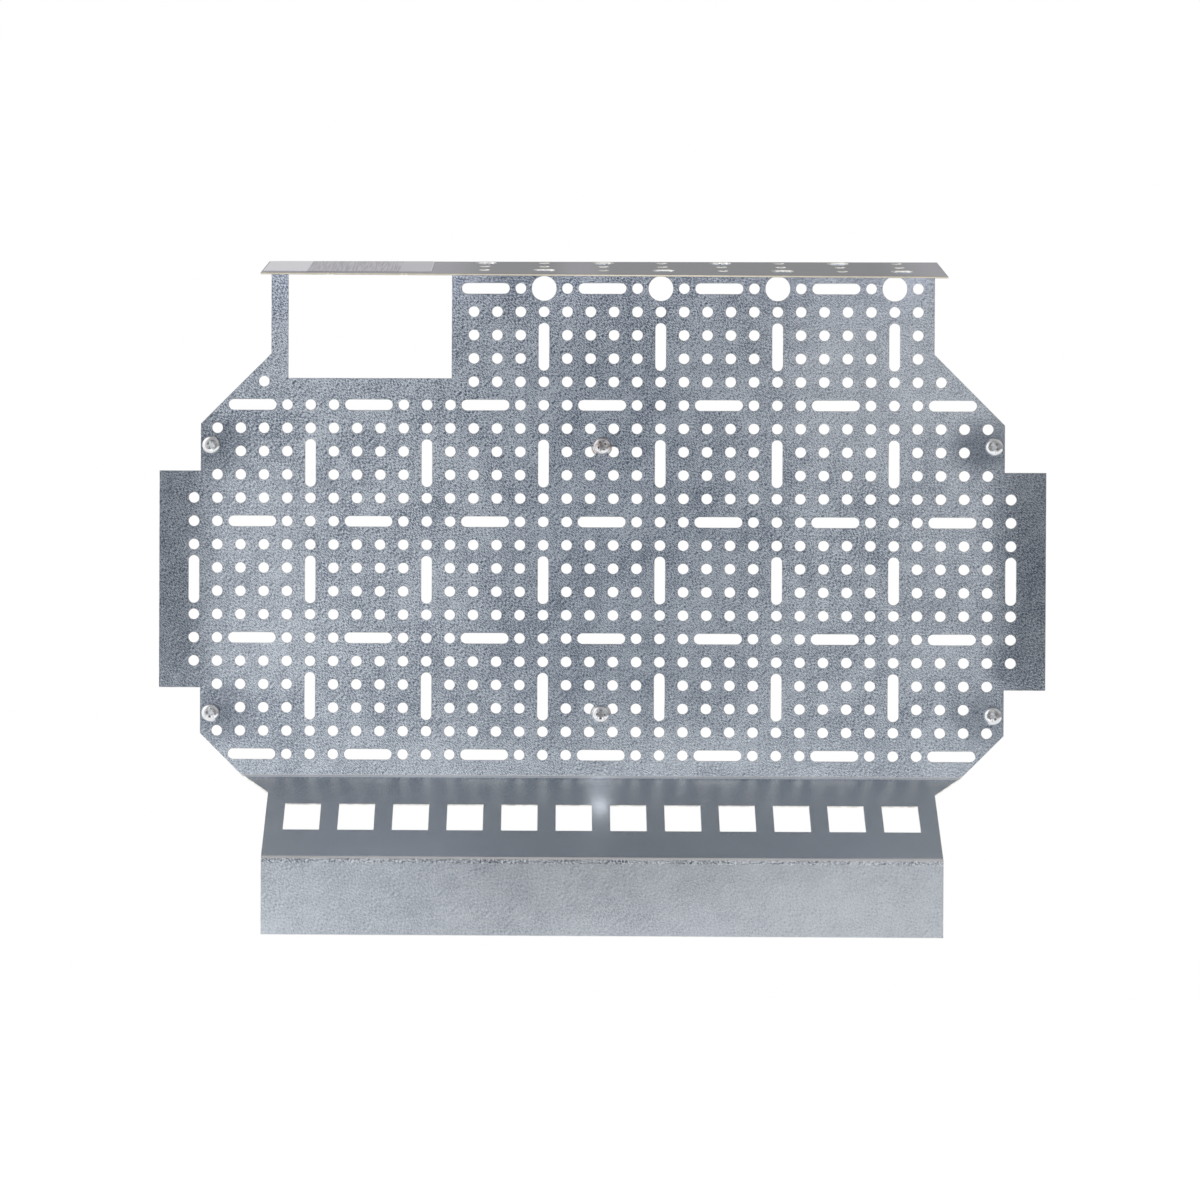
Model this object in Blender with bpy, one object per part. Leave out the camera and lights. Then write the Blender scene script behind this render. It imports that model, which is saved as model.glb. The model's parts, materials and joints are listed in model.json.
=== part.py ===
"""Perforated mounting plate of a recessed low-current enclosure, with its captive screws.

One folded steel sheet: a flat perforated panel with two side ears, a top flange bent forward and slightly
down, a sloping panel of socket openings, and a front lip.  Six screws fasten it; a nylon washer on each
thread keeps the screw in its hole, so the screw turns and slides but cannot fall out.

Metres, +Z up.  The front faces -Y, the back of the flat panel is the plane Y = 0, and the origin is the
centre of the screw pattern on that back face.

The sheet is drawn as a flat blank.  On the flat panel a blank height is the real height Z; beyond a bend it
goes on along the middle of the sheet, and folded() carries every point of the blank to its place in space.
"""
import math

import bmesh
import bpy
from mathutils import Matrix, Vector
from mathutils.geometry import delaunay_2d_cdt

# Sheet
SHEET = 0.0008                      # thickness of the steel
BEND_RADIUS = 0.0009                # of the middle of the sheet
BEND_STEPS = 4                      # flats that make one bend

# Folds, each (flat length up to the crease, turn towards the front), walking away from the origin's height
LIP_SLOPE = math.radians(54.0)      # turn from the flat panel to the sloping panel, and back to the lip
FLANGE_TURN = math.radians(102.5)   # a right angle and the flange's 12.5 degrees of droop
LOWER_CREASE = 0.0841
SLOPE_LENGTH = 0.0552
LIP_HEIGHT = 0.0322
UPPER_CREASE = 0.1362
FLANGE_LENGTH = 0.0465
LOWER_FOLDS = ((LOWER_CREASE, LIP_SLOPE), (SLOPE_LENGTH, -LIP_SLOPE))
UPPER_FOLDS = ((UPPER_CREASE, FLANGE_TURN),)
FLANGE_TWIST = 0.095                # extra droop per metre to the right, in radians

# Outline
EAR_HALF_WIDTH = 0.1900
EAR_HALF_HEIGHT = 0.0466
SHOULDER_HALF_WIDTH = 0.1723
NECK_HALF_WIDTH = 0.1421            # also half the width of the sloping panel and the lip
CHAMFER = SHOULDER_HALF_WIDTH - NECK_HALF_WIDTH
UPPER_SHOULDER = 0.0668
LOWER_SHOULDER = -0.0662
FLANGE_HALF_WIDTH = 0.1429
FLANGE_ROOT = UPPER_CREASE - 0.0020  # height at which the neck widens to the flange

# Cut-out for four 17.5 mm rail-mounted modules
CUTOUT_LEFT = -0.1346
CUTOUT_WIDTH = 0.0700
CUTOUT_BOTTOM = 0.08645
CUTOUT_HEIGHT = 0.0460

# Perforation grid: 36 columns by 21 rows, 10 mm apart
PITCH = 0.010
MIDDLE_COLUMN = 17.5
MIDDLE_ROW = 12.5
SLOT_STEP = 5                       # grid steps between slots
SLOT_WIDTH = 0.0045
SLOT_LENGTH = 0.0204
SLOT_END_SIDES = 4
LEVEL_SLOTS = {0: (12.5, 27.5), 5: (2.5, 32.5), 10: (2.5, 32.5), 15: (2.5, 32.5), 20: (2.5, 32.5)}
UPRIGHT_SLOTS = {2.5: (15, 30), 7.5: (5, 30), 12.5: (0, 35), 17.5: (5, 30)}
LARGE_HOLE_COLUMNS = (15, 20, 25, 30)
LARGE_HOLE_RADIUS = 0.00525
HOLE_SIDES = 12

# Socket openings in the sloping panel, distances measured along it from its upper crease
SOCKETS = 12
SOCKET_PITCH = 0.0230
SOCKET_WIDTH = 0.0152
SOCKET_TOP = 0.0200
SOCKET_HEIGHT = 0.0172

# Holes in the top flange, distances measured along it from its crease
FLANGE_COLUMNS = 8
FLANGE_FIRST_COLUMN = 12.5
FLANGE_COLUMN_STEP = 2.5
FLANGE_ROWS = (0.0065, 0.0195, 0.0325)
FLANGE_SMALL_RADIUS = 0.00225
FLANGE_LARGE_RADIUS = 0.0046

# Break-off tabs on the flange's front edge: two notches with the stub of a tab between them
BREAK_TABS = (-0.0832, -0.1140)
STUB_WIDTH = 0.0006
NOTCH_WIDTH = 0.0012
NOTCH_DEPTH = 0.0012

# Captive screws, M4 pan head
SCREW_X = 0.1675
SCREW_Z = 0.0575
SCREW_HOLE_RADIUS = 0.0024
HEAD_RADIUS = 0.0040
HEAD_HEIGHT = 0.0028
HEAD_RIM = 0.0008                   # straight part of the head's side
SHANK_RADIUS = 0.0020
SHANK_LENGTH = 0.0140
TIP = 0.0006
SCREW_SIDES = 20
RECESS_SPAN = 0.0046
RECESS_WIDTH = 0.0010
RECESS_DEPTH = 0.0018
TOUCH_GAP = 0.0003                  # clearance between pieces that rest on each other
SCREW_PLAY = 0.0030                 # how far a loose screw slides out before its washer stops it

# Nylon retaining washer
WASHER_RADIUS = 0.0045
WASHER_BORE = 0.0023
WASHER_THICKNESS = 0.0010

# Identification label, blank, on the flange's upper side
LABEL_LEFT = -0.1422
LABEL_WIDTH = 0.0702
LABEL_NEAR_CREASE = 0.0015
LABEL_LENGTH = 0.0395
LABEL_THICKNESS = 0.0002


def material(name, colour, metallic, roughness):
    """Principled material in one colour."""
    made = bpy.data.materials.new(name)
    made.use_nodes = True
    shader = made.node_tree.nodes["Principled BSDF"]
    shader.inputs["Base Color"].default_value = (*colour, 1.0)
    shader.inputs["Metallic"].default_value = metallic
    shader.inputs["Roughness"].default_value = roughness
    return made


def add_object(name, shape, look, place=(0.0, 0.0, 0.0)):
    """Object of that name around a finished bmesh."""
    bmesh.ops.recalc_face_normals(shape, faces=shape.faces)
    mesh = bpy.data.meshes.new(name)
    shape.to_mesh(mesh)
    shape.free()
    mesh.materials.append(look)
    made = bpy.data.objects.new(name, mesh)
    made.location = place
    bpy.context.scene.collection.objects.link(made)
    return made


# Folding

def setback(turn):
    """Distance from a crease, as two flats would meet it, to where its bend begins."""
    return BEND_RADIUS * math.tan(abs(turn) / 2)


def blank_height(folds, creases, along):
    """Distance on the blank to a point that lies along metres past the given number of creases."""
    flats = sum(flat for flat, turn in folds[:creases])
    saved = sum(2 * setback(turn) - BEND_RADIUS * abs(turn) for flat, turn in folds[:creases])
    return flats - saved + along


def slope_height(along):
    return -blank_height(LOWER_FOLDS, 1, along)


def flange_height(along):
    return blank_height(UPPER_FOLDS, 1, along)


def bend_heights(folds):
    """Blank heights of the lines that part the flats of every bend."""
    heights = []
    for number, (flat, turn) in enumerate(folds):
        start = blank_height(folds, number, flat - setback(turn))
        arc = BEND_RADIUS * abs(turn)
        heights += [start + arc * step / BEND_STEPS for step in range(BEND_STEPS + 1)]
    return heights


def follow(distance, folds):
    """Walk along the folded middle of the sheet: reach forward, climb and heading at that distance."""
    reach = 0.0
    climb = 0.0
    heading = 0.0
    eaten = 0.0
    for flat, turn in folds:
        run = min(distance, flat - eaten - setback(turn))
        reach += run * math.sin(heading)
        climb += run * math.cos(heading)
        arc = min(distance - run, BEND_RADIUS * abs(turn))
        rate = math.copysign(1 / BEND_RADIUS, turn)
        after = heading + rate * arc
        reach += (math.cos(heading) - math.cos(after)) / rate
        climb += (math.sin(after) - math.sin(heading)) / rate
        heading = after
        distance -= run + arc
        eaten = setback(turn)
    return reach + distance * math.sin(heading), climb + distance * math.cos(heading), heading


def folded(x, height, behind):
    """Place in space of a blank point, some distance behind the middle of the sheet."""
    side = math.copysign(1, height)
    reach, climb, heading = follow(abs(height), UPPER_FOLDS if height > 0 else LOWER_FOLDS)
    twist = FLANGE_TWIST * x * reach if height > 0 else 0.0
    y = -SHEET / 2 - reach + behind * math.cos(heading)
    z = side * (climb + behind * math.sin(heading)) - twist
    return Vector((x, y, z))


# Shapes on the blank, all counter-clockwise

def column_x(column):
    return (column - MIDDLE_COLUMN) * PITCH


def row_z(row):
    return (MIDDLE_ROW - row) * PITCH


def round_hole(x, height, radius, sides=HOLE_SIDES):
    turns = [2 * math.pi * (side + 0.5) / sides for side in range(sides)]
    return [Vector((x + radius * math.cos(turn), height + radius * math.sin(turn))) for turn in turns]


def slot(x, height, upright):
    """Slot with half-round ends."""
    radius = SLOT_WIDTH / 2
    reach = SLOT_LENGTH / 2 - radius
    tilt = math.pi / 2 if upright else 0.0
    points = []
    for end in (0, 1):
        facing = tilt + math.pi * end
        centre = Vector((x + reach * math.cos(facing), height + reach * math.sin(facing)))
        for step in range(SLOT_END_SIDES + 1):
            turn = facing - math.pi / 2 + math.pi * step / SLOT_END_SIDES
            points.append(centre + Vector((math.cos(turn), math.sin(turn))) * radius)
    return points


def window(left, bottom, width, tall):
    corners = ((0, 0), (1, 0), (1, 1), (0, 1))
    return [Vector((left + width * right, bottom + tall * up)) for right, up in corners]


def break_tab(x):
    """Points of two notches in the flange's front edge, from right to left."""
    edge = flange_height(FLANGE_LENGTH)
    points = []
    for right in (x + STUB_WIDTH / 2 + NOTCH_WIDTH, x - STUB_WIDTH / 2):
        left = right - NOTCH_WIDTH
        points += [(right, edge), (right, edge - NOTCH_DEPTH), (left, edge - NOTCH_DEPTH), (left, edge)]
    return points


def plate_outline():
    """Right half from the lip up to the flange, the notches in its edge, then the mirrored half."""
    right = [
        (NECK_HALF_WIDTH, -blank_height(LOWER_FOLDS, 2, LIP_HEIGHT)),
        (NECK_HALF_WIDTH, LOWER_SHOULDER - CHAMFER),
        (SHOULDER_HALF_WIDTH, LOWER_SHOULDER),
        (SHOULDER_HALF_WIDTH, -EAR_HALF_HEIGHT),
        (EAR_HALF_WIDTH, -EAR_HALF_HEIGHT),
        (EAR_HALF_WIDTH, EAR_HALF_HEIGHT),
        (SHOULDER_HALF_WIDTH, EAR_HALF_HEIGHT),
        (SHOULDER_HALF_WIDTH, UPPER_SHOULDER),
        (NECK_HALF_WIDTH, UPPER_SHOULDER + CHAMFER),
        (NECK_HALF_WIDTH, FLANGE_ROOT),
        (FLANGE_HALF_WIDTH, FLANGE_ROOT),
        (FLANGE_HALF_WIDTH, flange_height(FLANGE_LENGTH)),
    ]
    left = [(-x, height) for x, height in reversed(right)]
    notches = [point for x in BREAK_TABS for point in break_tab(x)]
    return [Vector(point) for point in right + notches + left]


def slots():
    holes = []
    for row, (first, last) in LEVEL_SLOTS.items():
        count = round((last - first) / SLOT_STEP) + 1
        holes += [slot(column_x(first + SLOT_STEP * index), row_z(row), False) for index in range(count)]
    for row, (first, last) in UPRIGHT_SLOTS.items():
        columns = range(first, last + 1, SLOT_STEP)
        holes += [slot(column_x(column), row_z(row), True) for column in columns]
    return holes


def screw_places():
    """Name and centre of each screw."""
    levels = (("upper", SCREW_Z), ("lower", -SCREW_Z))
    sides = (("left", -SCREW_X), ("middle", 0.0), ("right", SCREW_X))
    return [(f"{level}_{side}", x, z) for level, z in levels for side, x in sides]


def socket_windows():
    first = -(SOCKETS - 1) / 2 * SOCKET_PITCH - SOCKET_WIDTH / 2
    bottom = slope_height(SOCKET_TOP + SOCKET_HEIGHT)
    lefts = [first + SOCKET_PITCH * number for number in range(SOCKETS)]
    return [window(left, bottom, SOCKET_WIDTH, SOCKET_HEIGHT) for left in lefts]


def flange_holes():
    """Columns of three: the large hole lies nearest the crease and nearest the edge by turns."""
    holes = []
    for number in range(FLANGE_COLUMNS):
        large_row = 0 if number % 2 == 0 else 2
        x = column_x(FLANGE_FIRST_COLUMN + FLANGE_COLUMN_STEP * number)
        for row, along in enumerate(FLANGE_ROWS):
            radius = FLANGE_LARGE_RADIUS if row == large_row else FLANGE_SMALL_RADIUS
            holes.append(round_hole(x, flange_height(along), radius))
    return holes


def plate_holes():
    holes = [window(CUTOUT_LEFT, CUTOUT_BOTTOM, CUTOUT_WIDTH, CUTOUT_HEIGHT)]
    holes += slots()
    holes += [round_hole(column_x(column), row_z(0), LARGE_HOLE_RADIUS) for column in LARGE_HOLE_COLUMNS]
    holes += [round_hole(x, z, SCREW_HOLE_RADIUS) for name, x, z in screw_places()]
    return holes + socket_windows() + flange_holes()


def triangulated(outline, holes, heights):
    """Points and triangles of the blank, with no triangle across a hole or a bend line."""
    points = list(outline)
    faces = [list(range(len(outline)))]
    for hole in holes:
        faces.append(list(range(len(points), len(points) + len(hole))))
        points += hole
    edges = []
    for height in heights:
        edges.append((len(points), len(points) + 1))
        points += [Vector((-EAR_HALF_WIDTH, height)), Vector((EAR_HALF_WIDTH, height))]
    found = delaunay_2d_cdt(points, edges, faces, 1, 1e-6)
    triangles = [triangle for triangle, sources in zip(found[2], found[5]) if sources == [0]]
    return found[0], triangles


def build_plate(look):
    heights = [-height for height in bend_heights(LOWER_FOLDS)] + bend_heights(UPPER_FOLDS)
    points, triangles = triangulated(plate_outline(), plate_holes(), heights)
    shape = bmesh.new()
    front = [shape.verts.new(folded(x, height, -SHEET / 2)) for x, height in points]
    back = [shape.verts.new(folded(x, height, SHEET / 2)) for x, height in points]
    sides = set()
    for triangle in triangles:
        shape.faces.new([front[index] for index in triangle])
        shape.faces.new([back[index] for index in reversed(triangle)])
        sides.update(zip(triangle, triangle[1:] + triangle[:1]))
    for start, end in sides:
        if (end, start) not in sides:
            shape.faces.new((front[end], front[start], back[start], back[end]))
    loose = [vert for vert in shape.verts if not vert.link_faces]
    bmesh.ops.delete(shape, geom=loose, context="VERTS")
    return add_object("mounting_plate", shape, look)


# Turned pieces, with their axis along Y

def turned(profile, sides):
    """Closed solid from a profile of (y, radius) points that starts and ends on the axis."""
    shape = bmesh.new()
    verts = [shape.verts.new((radius, y, 0.0)) for y, radius in profile]
    edges = [shape.edges.new(pair) for pair in zip(verts, verts[1:])]
    bmesh.ops.spin(shape, geom=verts + edges, axis=(0, 1, 0), cent=(0, 0, 0),
                   angle=2 * math.pi, steps=sides, use_merge=True, use_duplicate=False)
    bmesh.ops.remove_doubles(shape, verts=shape.verts, dist=1e-6)
    return shape


def screw_shape():
    """Pan head in front of Y = 0 and shank behind it."""
    crown = HEAD_HEIGHT - HEAD_RIM
    steps = 4
    profile = [(-HEAD_RIM - crown * math.sin(math.pi / 2 * (1 - step / steps)),
                HEAD_RADIUS * math.cos(math.pi / 2 * (1 - step / steps))) for step in range(steps + 1)]
    profile += [
        (0.0, HEAD_RADIUS),
        (0.0, SHANK_RADIUS),
        (SHANK_LENGTH - TIP, SHANK_RADIUS),
        (SHANK_LENGTH, SHANK_RADIUS - TIP),
        (SHANK_LENGTH, 0.0),
    ]
    return turned(profile, SCREW_SIDES)


def cross_cutter(name, parent):
    """Cross-shaped driver recess, cut into the head from its crown."""
    shape = bmesh.new()
    depth = RECESS_DEPTH * 2
    place = Matrix.Translation((0.0, -HEAD_HEIGHT, 0.0))
    for size in ((RECESS_SPAN, depth, RECESS_WIDTH), (RECESS_WIDTH, depth, RECESS_SPAN)):
        bmesh.ops.create_cube(shape, size=1.0, matrix=place @ Matrix.Diagonal((*size, 1.0)))
    cutter = add_object(name, shape, parent.data.materials[0])
    cutter.parent = parent
    cutter.hide_render = True
    cutter.display_type = "WIRE"
    return cutter


def build_screw(name, x, z, look):
    screw = add_object(f"screw_{name}", screw_shape(), look, (x, -SHEET - TOUCH_GAP, z))
    cut = screw.modifiers.new("driver_recess", "BOOLEAN")
    cut.operation = "DIFFERENCE"
    cut.solver = "EXACT"
    cut.use_self = True
    cut.object = cross_cutter(f"recess_cutter_{name}", screw)
    return screw


def build_washer(name, x, z, look):
    """Flat ring on the thread, where it meets the back of the sheet once the screw has slid out."""
    rear = SCREW_PLAY + WASHER_THICKNESS
    section = [(SCREW_PLAY, WASHER_BORE), (SCREW_PLAY, WASHER_RADIUS), (rear, WASHER_RADIUS), (rear, WASHER_BORE)]
    shape = turned(section + section[:1], SCREW_SIDES)
    return add_object(f"retaining_washer_{name}", shape, look, (x, TOUCH_GAP, z))


def build_label(look):
    """Thin rectangle lying on the flange."""
    lower = SHEET / 2 + TOUCH_GAP
    near = flange_height(LABEL_NEAR_CREASE)
    shape = bmesh.new()
    rings = []
    for behind in (lower, lower + LABEL_THICKNESS):
        corners = window(LABEL_LEFT, near, LABEL_WIDTH, LABEL_LENGTH)
        rings.append([shape.verts.new(folded(x, height, behind)) for x, height in corners])
    shape.faces.new(reversed(rings[0]))
    shape.faces.new(rings[1])
    for index in range(4):
        after = (index + 1) % 4
        shape.faces.new((rings[0][index], rings[0][after], rings[1][after], rings[1][index]))
    return add_object("label", shape, look)


def build():
    for old in list(bpy.data.objects):
        bpy.data.objects.remove(old)
    zinc = material("galvanised_steel", (0.36, 0.40, 0.44), 0.9, 0.45)
    bright = material("zinc_screw", (0.78, 0.77, 0.74), 1.0, 0.2)
    nylon = material("nylon", (0.86, 0.86, 0.84), 0.0, 0.5)
    paper = material("label_film", (0.80, 0.80, 0.81), 0.0, 0.6)
    build_plate(zinc)
    for name, x, z in screw_places():
        build_screw(name, x, z, bright)
        build_washer(name, x, z, nylon)
    build_label(paper)


build()
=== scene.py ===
"""Looks of the perforated mounting plate: every perforation, threaded screws, zinc, label, light and camera.

Metres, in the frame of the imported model.  The sheet is drawn again as a flat blank with every hole in it and
folded on the same three lines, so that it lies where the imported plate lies.
"""
import json
import math

import bmesh
import bpy
from mathutils import Matrix, Vector
from mathutils.geometry import delaunay_2d_cdt


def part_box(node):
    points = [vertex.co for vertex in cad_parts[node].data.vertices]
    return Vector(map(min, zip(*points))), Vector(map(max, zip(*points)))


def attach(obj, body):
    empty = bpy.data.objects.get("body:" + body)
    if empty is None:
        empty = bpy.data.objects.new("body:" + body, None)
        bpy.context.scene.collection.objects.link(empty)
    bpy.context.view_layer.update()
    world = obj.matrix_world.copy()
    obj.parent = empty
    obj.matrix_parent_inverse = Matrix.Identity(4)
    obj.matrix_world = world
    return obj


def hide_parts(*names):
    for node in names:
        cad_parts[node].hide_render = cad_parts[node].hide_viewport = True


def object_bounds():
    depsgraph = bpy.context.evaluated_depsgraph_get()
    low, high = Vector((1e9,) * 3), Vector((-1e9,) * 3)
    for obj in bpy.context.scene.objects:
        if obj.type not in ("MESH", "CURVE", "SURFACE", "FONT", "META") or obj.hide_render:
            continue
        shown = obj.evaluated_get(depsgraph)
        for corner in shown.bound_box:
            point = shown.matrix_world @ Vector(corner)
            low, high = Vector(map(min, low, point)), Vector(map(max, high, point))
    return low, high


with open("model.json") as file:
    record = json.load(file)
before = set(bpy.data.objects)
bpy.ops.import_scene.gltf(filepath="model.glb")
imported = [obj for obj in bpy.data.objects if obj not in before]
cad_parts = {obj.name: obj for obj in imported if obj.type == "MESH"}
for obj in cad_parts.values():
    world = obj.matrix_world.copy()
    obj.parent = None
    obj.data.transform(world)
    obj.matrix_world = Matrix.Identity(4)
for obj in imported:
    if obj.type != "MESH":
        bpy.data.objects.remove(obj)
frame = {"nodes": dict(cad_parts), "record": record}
cad_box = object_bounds()

# Camera, standing in front of the plate
CAMERA_PLACE = (-0.01722, -1.50355, -0.01949)
CAMERA_TARGET = (-0.04754, 0.0, -0.03248)
CAMERA_ROLL = math.radians(0.222)
LENS = 105.1
SENSOR = 36.0
SHIFT = (0.0915, 0.0464)

# Sheet
SHEET = 0.0008
BEND_RADIUS = 0.0009
BEND_STEPS = 8
EDGE_BREAK = 0.00012                # chamfer along every cut edge
SMOOTH_BELOW = math.radians(32.0)   # edges flatter than this are shaded smooth

# Folds, each (flat length up to the crease, turn towards the front)
LIP_SLOPE = math.radians(54.0)
FLANGE_TURN = math.radians(102.5)
LOWER_CREASE = 0.0841
SLOPE_LENGTH = 0.0552
LIP_HEIGHT = 0.0322
UPPER_CREASE = 0.1362
FLANGE_LENGTH = 0.0465
LOWER_FOLDS = ((LOWER_CREASE, LIP_SLOPE), (SLOPE_LENGTH, -LIP_SLOPE))
UPPER_FOLDS = ((UPPER_CREASE, FLANGE_TURN),)
FLANGE_TWIST = 0.095                # extra droop per metre to the right, in radians

# Outline
EAR_HALF_WIDTH = 0.1900
EAR_HALF_HEIGHT = 0.0466
SHOULDER_HALF_WIDTH = 0.1723
NECK_HALF_WIDTH = 0.1421
CHAMFER = SHOULDER_HALF_WIDTH - NECK_HALF_WIDTH
UPPER_SHOULDER = 0.0668
LOWER_SHOULDER = -0.0662
FLANGE_HALF_WIDTH = 0.1429
FLANGE_ROOT = UPPER_CREASE - 0.0020

# Cut-out
CUTOUT_LEFT = -0.1346
CUTOUT_WIDTH = 0.0700
CUTOUT_BOTTOM = 0.08645
CUTOUT_HEIGHT = 0.0460

# Perforation grid of 36 columns by 21 rows
PITCH = 0.010
MIDDLE_COLUMN = 17.5
MIDDLE_ROW = 12.5
SLOT_STEP = 5
SLOT_WIDTH = 0.0045
SLOT_LENGTH = 0.0204
SLOT_END_SIDES = 14
LEVEL_SLOTS = {0: (12.5, 27.5), 5: (2.5, 32.5), 10: (2.5, 32.5), 15: (2.5, 32.5), 20: (2.5, 32.5)}
UPRIGHT_SLOTS = {2.5: (15, 30), 7.5: (5, 30), 12.5: (0, 35), 17.5: (5, 30)}
LARGE_HOLE_COLUMNS = (15, 20, 25, 30)
LARGE_HOLE_RADIUS = 0.00525
SMALL_HOLE_RADIUS = 0.00225
SMALL_HOLE_SIDES = 24
LARGE_HOLE_SIDES = 48
HOLE_SPANS = {                      # row: first and last column with a hole, slots apart
    0: ((14, 31),),
    1: ((12, 31),),
    2: ((12, 31),),
    3: ((12, 31),),
    4: ((3, 3), (12, 32)),
    5: ((4, 31),),
    6: ((1, 34),),
    7: ((2, 33),),
    8: ((1, 34),),
    9: ((0, 35),),
    10: ((0, 35),),
    11: ((0, 35),),
    12: ((1, 34),),
    13: ((1, 34),),
    14: ((0, 35),),
    15: ((0, 35),),
    16: ((0, 35),),
    17: ((1, 34),),
    18: ((2, 33),),
    19: ((1, 34),),
    20: ((4, 31),),
}

# Socket openings and flange holes
SOCKETS = 12
SOCKET_PITCH = 0.0230
SOCKET_WIDTH = 0.0152
SOCKET_TOP = 0.0200
SOCKET_HEIGHT = 0.0172
FLANGE_COLUMNS = 8
FLANGE_FIRST_COLUMN = 12.5
FLANGE_COLUMN_STEP = 2.5
FLANGE_ROWS = (0.0065, 0.0195, 0.0325)
FLANGE_LARGE_RADIUS = 0.0046
BREAK_TABS = (-0.0832, -0.1140)
STUB_WIDTH = 0.0006
NOTCH_WIDTH = 0.0012
NOTCH_DEPTH = 0.0012

# Screws
SCREW_HOLE_RADIUS = 0.0024
SHANK_RADIUS = 0.0020
THREAD_PITCH = 0.0007
THREAD_DEPTH = 0.00036
PLAIN_NECK = 0.0009
TIP = 0.0006
TURN_SIDES = 40
SCREW_SPINS = {                     # degrees each cross stands turned by
    "upper_left": 22, "upper_middle": 63, "upper_right": 38,
    "lower_left": 10, "lower_middle": 4, "lower_right": 55,
}
COPPERY_SCREW = "upper_middle"
SEAT_GAP = 0.0003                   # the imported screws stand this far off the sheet
HEAD_CROWN = 0.00020                # how far the crown domes
HEAD_ROUND_OVER = 0.0015
HEAD_SIDE = 0.0005
HEAD_STEPS = 7
HEAD_EDGE = 0.0001
THREAD_CREST = 1.6                  # height of the thread's trapezium before it is cut off at 1
THREAD_FLANK = 4.4                  # steepness of its flanks
THREAD_ROWS = 8
RECESS_ABOVE = 0.0006               # the recess cutters start this far above the crown
CROSS_WINGS = (0.00245, 0.00056, 0.0011, 0.00042, 0.0019)     # half sizes at top and foot, then depth
SHORT_MARKS = (0.0031, 0.00011, 0.0028, 0.00008, 0.00030)
CROSS_MIDDLE = (0.00098, 0.00098, 0.0005, 0.0005, 0.0021)

# Washers
WASHER_BORE = 0.0023
WASHER_TOOTH = 0.00022
WASHER_TEETH = 6
WASHER_SIDES = 96
WASHER_CORNER = 0.28                # share of the thickness
WASHER_CORNER_STEPS = 4

# Label
LABEL_NEAR_CREASE = 0.0015
LABEL_THICKNESS = 0.00012
LABEL_GAP = 0.00002
LABEL_CORNER = 0.0015
LABEL_CORNER_STEPS = 6
BAR_BLOCK = (-0.1237, -0.0853)
PLAIN_FIELD = (-0.0849, -0.0725)
PRINT_BLUR = 0.0004

# Zones of the zinc, as depths and heights on the folded sheet
FLAT_DEPTH = (-0.0040, -0.0018)
LIP_DEPTH = (-0.0440, -0.0448)
FRONT_EDGE_DEPTH = (-0.0395, -0.0430)
FLANGE_SIDE = (0.0, 0.05)
UPPER_BEND_LINE = (-0.0847, -0.0838)
LOWER_BEND_LINE = (-0.1168, -0.1160)
SPECKLED_LINE = (-0.1184, -0.1169)
LINE_BLUR = 0.0003
EAR_START = (0.165, 0.180)          # to each side of the middle of the plate
EAR_FLECKS = 1.20                   # how much stronger the flecks are on the ears
PANEL_FLECKS = (0.86, 1.84)         # from the lower crease to the top
FLECK_STRETCH = (0.66, 2.10)        # noise steps per millimetre, along the fall and across it
STROKE_STRETCH = (0.55, 1.20)
GRAIN_SCALE = 1.55
CLOUD_SCALE = 0.035
MIST_SCALE = 0.16
EDGE_STREAKS = 350                  # noise steps per metre on the cut edges
CORNER_SCREW = (0.161, 0.0575)      # middle of the painted shade beside each corner screw

# Light: soft boxes beside the camera as (name, x, z, width, height, watts)
SOFT_LIGHTS = (
    ("far_left", -0.38, 0.0, 0.16, 0.8, 0.31),
    ("near_left", -0.18, 0.0, 0.08, 0.8, 0.107),
    ("near_right", 0.22, 0.0, 0.16, 0.8, 0.078),
    ("far_right", 0.38, 0.0, 0.16, 0.8, 0.136),
    ("low", 0.125, -0.37, 0.30, 0.06, 0.102),
    ("high_right", 0.25, 0.36, 0.25, 0.16, 0.107),
)
SOFT_TINT = (0.95, 0.99, 1.04)
SOFT_PLACE = -1.5                   # in front of the plate
GLOW_AHEAD = 0.0036                 # in front of the screw's head
GLOW_SIZE = (0.006, 0.003)
GLOW_POWER = 0.00017
GLOW_WAY = (0.0, -0.26, -0.96)
FLOOR_SIDE = 6.0
FLOOR_DROP = 0.35                   # below the lip
FLOOR_REFLECTED = 0.45              # the floor's glow where it is not seen directly
WORLD_BANDS = (                     # axis, where the glow starts and is full, strength
    ("Z", -1.1, -1.05, 0.238),
    ("Z", 0.05, 0.50, 0.249),
    ("Z", -0.05, -0.50, 2.0),
    ("X", -0.10, -0.60, 0.955),
    ("X", 0.10, 0.60, 0.137),
    ("Y", 0.95, 0.995, 0.8),
)


def body_of(node):
    """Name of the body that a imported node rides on."""
    bodies = frame["record"]["behaviour"]["bodies"]
    return next(body for body, nodes in bodies.items() if node in nodes)


def add_piece(name, shape, looks, nodes):
    """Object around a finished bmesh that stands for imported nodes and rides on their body."""
    mesh = bpy.data.meshes.new(name)
    shape.to_mesh(mesh)
    shape.free()
    for look in looks:
        mesh.materials.append(look)
    mesh.shade_smooth()
    mesh.set_sharp_from_angle(angle=SMOOTH_BELOW)
    piece = bpy.data.objects.new(name, mesh)
    bpy.context.scene.collection.objects.link(piece)
    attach(piece, body_of(nodes[0]))
    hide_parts(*nodes)
    return piece


# Folding

def setback(turn):
    """Distance from a crease to where its bend begins."""
    return BEND_RADIUS * math.tan(abs(turn) / 2)


def blank_height(folds, creases, along):
    """Distance on the blank to a point that lies along metres past the given number of creases."""
    flats = sum(flat for flat, turn in folds[:creases])
    saved = sum(2 * setback(turn) - BEND_RADIUS * abs(turn) for flat, turn in folds[:creases])
    return flats - saved + along


def slope_height(along):
    return -blank_height(LOWER_FOLDS, 1, along)


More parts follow.
